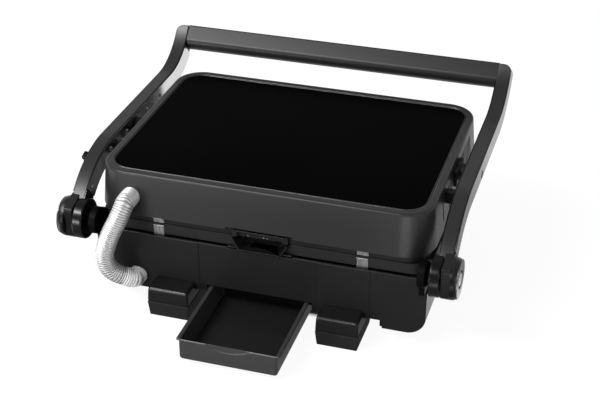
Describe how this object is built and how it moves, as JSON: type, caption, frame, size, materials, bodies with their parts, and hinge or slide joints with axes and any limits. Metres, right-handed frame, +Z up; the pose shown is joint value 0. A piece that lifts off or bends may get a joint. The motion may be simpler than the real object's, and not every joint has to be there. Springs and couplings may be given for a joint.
{
  "type": "contact grill",
  "caption": "Closed contact grill on feet: lid with black panel between swing-over handle arms, ribbed plates, grease spout over a pull-out drip tray, and a ribbed cable hose from lid to base.",
  "frame": {"origin": "on the table under the middle of the box of the closed grill with its tray pulled out as pictured", "axes": "+Z up, +Y from the hinge towards the handle bar, +X to the right seen from the hinge side"},
  "size_m": [0.3658, 0.3636, 0.1625],
  "materials": {
    "housing": "fine satin moulding",
    "satin_grey": "satin",
    "tray": "satin",
    "rubber": "matt",
    "plate": "dark non-stick coating",
    "arm_plate": "bright",
    "steel": "bright",
    "zinc": "galvanised sheet",
    "black_plastic": "satin",
    "panel": "deep black",
    "hose": "bright ribbed",
    "lens": "clear",
    "ceramic": "matt"
  },
  "bodies": {
    "base": {"lower_housing": "housing", "base_floor": "housing", "tray_runners": "housing", "rear_foot_left": "housing", "rear_foot_right": "housing", "front_feet": "housing", "foot_pads": "rubber", "floor_screws": "steel", "lower_plate": "plate", "lower_heating_element": "steel", "lower_heat_shield": "zinc", "lower_plate_clips": "zinc", "spout_chute": "plate", "trunnion_left": "black_plastic", "trunnion_right": "black_plastic", "hinge_pins": "steel", "control_panel": "black_plastic", "thermostat": "black_plastic", "indicator_lenses": "lens", "terminal_block": "ceramic", "cord_gland": "rubber", "cable_hose": "hose"},
    "handle_frame": {"left_arm": "satin_grey", "right_arm": "satin_grey", "left_arm_inner_plate": "arm_plate", "left_arm_outer_plate": "arm_plate", "right_arm_inner_plate": "arm_plate", "right_arm_outer_plate": "arm_plate", "handle_bar": "satin_grey", "hub_disc_left": "black_plastic", "hub_disc_right": "black_plastic", "hub_caps": "arm_plate", "hub_bolts": "steel", "arm_screws": "steel"},
    "lid": {"upper_housing": "satin_grey", "top_panel": "panel", "upper_plate": "plate", "upper_heating_element": "steel", "upper_heat_shield": "zinc", "upper_plate_clips": "zinc", "spout_bar": "plate", "spout_rivets": "steel", "lid_pivot_left": "black_plastic", "lid_pivot_right": "black_plastic", "lid_stops": "black_plastic", "lid_screws": "steel"},
    "lock_slider": {"lock_slider": "black_plastic"},
    "drip_tray": {"drip_tray": "tray"},
    "thermostat_knob": {"thermostat_knob": "black_plastic"},
    "lower_release_button": {"lower_release_button": "black_plastic"},
    "upper_release_button": {"upper_release_button": "black_plastic"}
  },
  "joints": [
    {"name": "handle_swing", "type": "hinge", "parent": "base", "child": "handle_frame", "pos_m": [0, -0.10483, 0.0833], "axis": [1, 0, 0], "range_deg": [0, 180], "deforming": ["cable_hose"]},
    {"name": "lid_float", "type": "slide", "parent": "handle_frame", "child": "lid", "axis": [0, 0, 1], "range_m": [0, 0.004], "deforming": ["cable_hose"]},
    {"name": "lock_slide", "type": "slide", "parent": "handle_frame", "child": "lock_slider", "axis": [0, 0.9494, 0.314], "range_m": [0, 0.006]},
    {"name": "tray_slide", "type": "slide", "parent": "base", "child": "drip_tray", "axis": [0, 1, 0], "range_m": [-0.012, 0.072]},
    {"name": "knob_turn", "type": "hinge", "parent": "base", "child": "thermostat_knob", "pos_m": [0, 0.12644, 0.04335], "axis": [0, 1, 0], "range_deg": [0, 270]},
    {"name": "lower_button_press", "type": "slide", "parent": "base", "child": "lower_release_button", "axis": [0, -1, 0], "range_m": [0, 0.003], "stiffness_N_per_m": 300},
    {"name": "upper_button_press", "type": "slide", "parent": "lid", "child": "upper_release_button", "axis": [0, -1, 0], "range_m": [0, 0.003], "stiffness_N_per_m": 300}
  ]
}
